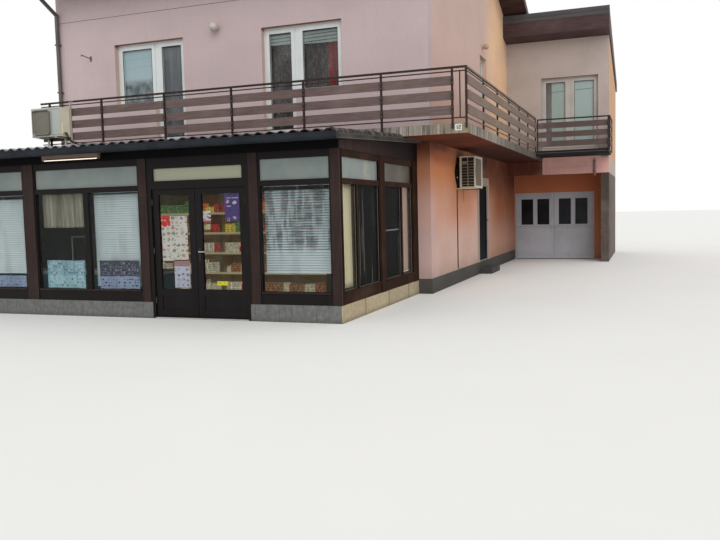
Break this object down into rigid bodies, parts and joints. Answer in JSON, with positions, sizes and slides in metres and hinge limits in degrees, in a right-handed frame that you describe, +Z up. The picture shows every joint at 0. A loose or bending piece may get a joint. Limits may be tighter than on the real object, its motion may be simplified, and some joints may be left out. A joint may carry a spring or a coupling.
{
  "type": "corner shop building",
  "caption": "Two-storey house with a glazed ground-floor shop, an L-shaped balcony round its corner and a garage wing, with hinged doors.",
  "frame": {"origin": "on the ground at the foot of the shop's front right corner post", "axes": "+X right along the street, +Y back into the plot, +Z up"},
  "size_m": [12.096, 18.9683, 9.0239],
  "materials": {
    "plinth_tile": "matt cut tiles",
    "frame_brown": "satin stain",
    "door_brown": "satin stain",
    "clear_glass": "clear",
    "frosted_glass": "frosted",
    "bright_metal": "brushed",
    "fascia_black": "matt stain",
    "roof_sheet": "weathered",
    "roof_tile": "weathered clay",
    "gutter_blue": "satin",
    "pink_render": "rough dusty render",
    "salmon_render": "rough painted render",
    "orange_render": "painted render",
    "blind_white": "satin slats",
    "curtain_cream": "woven",
    "shelf_wood": "satin",
    "lamp_white": "satin",
    "concrete": "weathered",
    "base_grey": "painted render",
    "trim_brown": "satin stain",
    "window_white": "satin",
    "door_dark": "satin",
    "rail_brown": "satin",
    "garage_white": "satin",
    "unit_cream": "satin",
    "globe_white": "opal"
  },
  "bodies": {
    "building": {"shop_plinth": "plinth_tile", "shop_front_frame": "frame_brown", "shop_side_frame": "frame_brown", "shop_door_frame": "frame_brown", "shop_glass": "clear_glass", "shop_transom_lights": "frosted_glass", "shop_fascia": "fascia_black", "shop_roof": "roof_sheet", "shop_gutter": "gutter_blue", "shop_left_wall": "pink_render", "shop_blinds": "blind_white", "shop_curtains": "curtain_cream", "shop_shelves": "shelf_wood", "eave_lamps": "lamp_white", "ground_floor": "concrete", "base_course": "base_grey", "house_front_wall": "pink_render", "house_left_wall": "pink_render", "house_rear_wall": "pink_render", "side_wall_front": "salmon_render", "side_wall_rear": "salmon_render", "side_wall_upper": "pink_render", "upper_floors": "concrete", "main_roof": "roof_tile", "roof_trim": "trim_brown", "roof_gutters": "gutter_blue", "upper_windows": "window_white", "upper_glass": "clear_glass", "side_door_frame": "window_white", "balcony_slab": "concrete", "front_railing": "rail_brown", "side_railing": "rail_brown", "rear_railing": "rail_brown", "wing_walls": "pink_render", "wing_front_wall": "pink_render", "wing_floor": "salmon_render", "garage_wall": "orange_render", "garage_frame": "garage_white", "wing_doors": "window_white", "wing_roof": "roof_sheet", "wing_fascia": "trim_brown", "ac_unit_front": "unit_cream", "ac_unit_side": "unit_cream", "wall_lamps": "globe_white"},
    "shop_leaf_left": {"shop_door_left": "door_brown", "shop_door_left_glass": "clear_glass"},
    "shop_leaf_right": {"shop_door_right": "door_brown", "shop_door_right_glass": "clear_glass", "shop_door_handle": "bright_metal"},
    "side_leaf": {"side_door": "door_dark"},
    "garage_leaf_left": {"garage_door_left": "garage_white"},
    "garage_leaf_right": {"garage_door_right": "garage_white"}
  },
  "joints": [
    {"name": "shop_door_left_hinge", "type": "hinge", "parent": "building", "child": "shop_leaf_left", "pos_m": [-3.337, 0.089, 1], "axis": [0, 0, 1], "range_deg": [0, 90]},
    {"name": "shop_door_right_hinge", "type": "hinge", "parent": "building", "child": "shop_leaf_right", "pos_m": [-1.595, 0.089, 1], "axis": [0, 0, -1], "range_deg": [0, 90]},
    {"name": "side_door_hinge", "type": "hinge", "parent": "building", "child": "side_leaf", "pos_m": [0.218, 8.868, 1.3], "axis": [0, 0, 1], "range_deg": [0, 90]},
    {"name": "garage_left_hinge", "type": "hinge", "parent": "building", "child": "garage_leaf_left", "pos_m": [0.371, 14.391, 1], "axis": [0, 0, -1], "range_deg": [0, 90]},
    {"name": "garage_right_hinge", "type": "hinge", "parent": "building", "child": "garage_leaf_right", "pos_m": [2.715, 14.391, 1], "axis": [0, 0, 1], "range_deg": [0, 90]}
  ]
}
